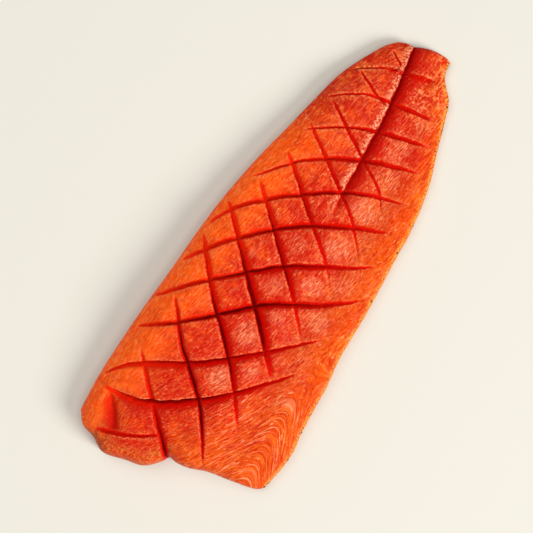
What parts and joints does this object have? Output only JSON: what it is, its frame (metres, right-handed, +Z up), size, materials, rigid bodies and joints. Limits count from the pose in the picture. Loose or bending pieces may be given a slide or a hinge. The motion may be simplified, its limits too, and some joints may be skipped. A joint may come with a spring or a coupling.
{
  "type": "smoked salmon fillet",
  "caption": "Whole side of smoked salmon lying skin down, its top scored in diamonds by slanting knife cuts, with a seam down the tail.",
  "frame": {"origin": "middle of the bounding box, on the face of the skin that the fillet rests on", "axes": "+Y along the fillet towards the tail, +X across it towards the thin belly edge, +Z up out of the scored top"},
  "size_m": [0.1663, 0.4143, 0.0326],
  "materials": {
    "smoked_flesh": "moist, slightly translucent orange-red fish flesh with a soft gloss",
    "salmon_skin": "thin fish skin, pale fat at its edge with dark specks, silver grey below"
  },
  "bodies": {
    "root": {"fillet": "smoked_flesh", "skin": "salmon_skin"}
  },
  "joints": []
}
